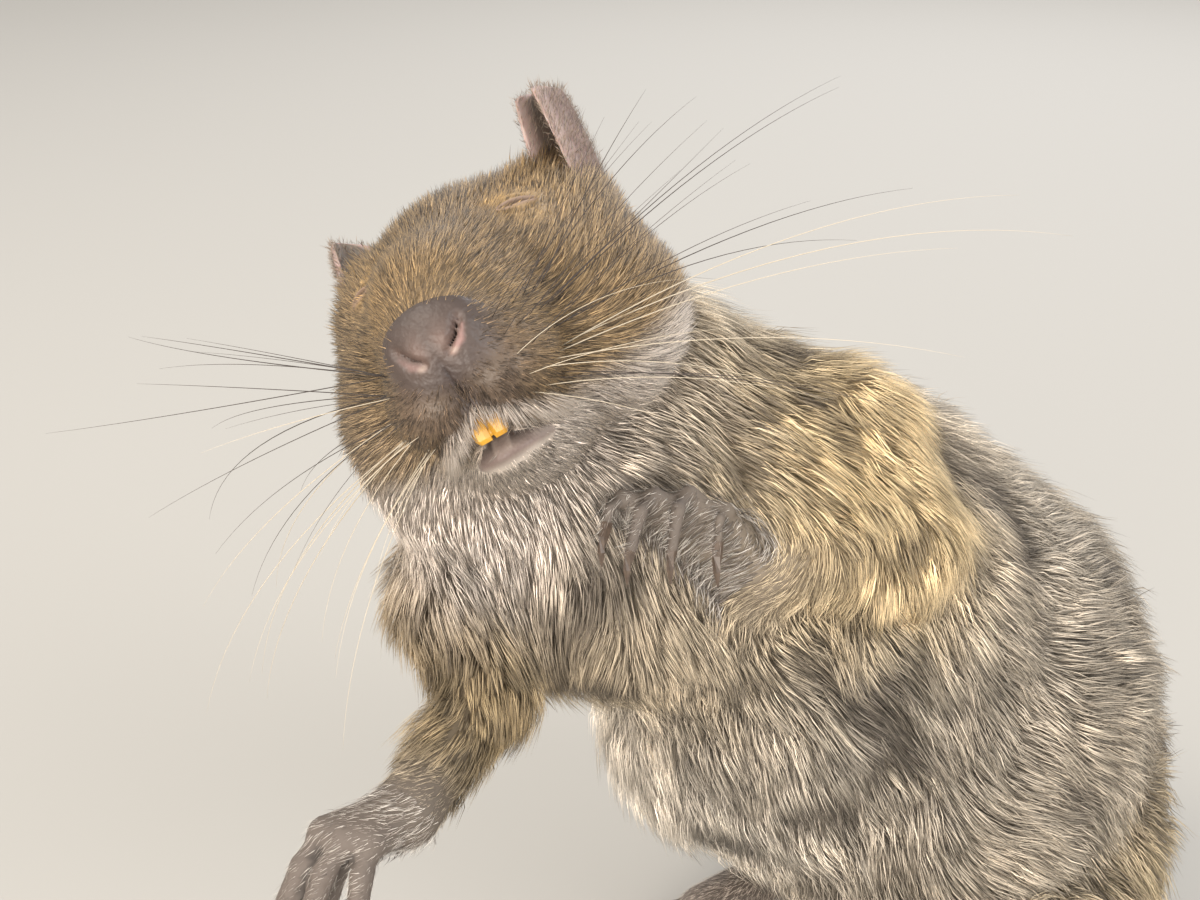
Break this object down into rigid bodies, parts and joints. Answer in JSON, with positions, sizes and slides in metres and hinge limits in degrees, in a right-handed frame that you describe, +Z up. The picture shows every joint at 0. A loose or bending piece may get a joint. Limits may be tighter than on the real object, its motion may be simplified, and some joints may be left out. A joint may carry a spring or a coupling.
{
  "type": "degu",
  "caption": "Life-size degu sitting up on flat hind feet, head tilted, one forepaw laid forward and one reaching out, tail curled round behind.",
  "frame": {"origin": "on the floor, under the middle of the bounding box", "axes": "+Z up, the animal's belly and hind toes face -Y, its left side is +X"},
  "size_m": [0.1404, 0.173, 0.1459],
  "materials": {
    "coat": "short golden-brown fur with dark ticking",
    "paw": "grey-brown skin under short pale hairs",
    "skin": "thin bare skin of the ears and nose",
    "tail": "short bristly hair over a ringed tail",
    "brush": "long blackish hairs",
    "claw": "dark polished horn",
    "enamel": "orange tooth enamel",
    "eye": "wet black eye behind nearly closed lids"
  },
  "bodies": {
    "root": {"claw_foot_left_1": "claw", "claw_foot_left_2": "claw", "claw_foot_left_3": "claw", "claw_foot_left_4": "claw", "claw_foot_left_5": "claw", "claw_foot_right_1": "claw", "claw_foot_right_2": "claw", "claw_foot_right_3": "claw", "claw_foot_right_4": "claw", "claw_foot_right_5": "claw", "claw_hand_left_1": "claw", "claw_hand_left_2": "claw", "claw_hand_left_3": "claw", "claw_hand_left_4": "claw", "claw_hand_right_1": "claw", "claw_hand_right_2": "claw", "claw_hand_right_3": "claw", "claw_hand_right_4": "claw", "ear_left": "skin", "ear_right": "skin", "eye_left": "eye", "eye_right": "eye", "foot_left": "paw", "foot_right": "paw", "forearm_left": "coat", "forearm_right": "coat", "hand_left": "paw", "hand_right": "paw", "head": "coat", "incisor_left": "enamel", "incisor_right": "enamel", "neck": "coat", "shank_left": "coat", "shank_right": "coat", "tail_brush": "brush", "tail_middle": "tail", "tail_root": "tail", "tail_tip": "tail", "thigh_left": "coat", "thigh_right": "coat", "torso": "coat", "upper_arm_left": "coat", "upper_arm_right": "coat"}
  },
  "joints": []
}
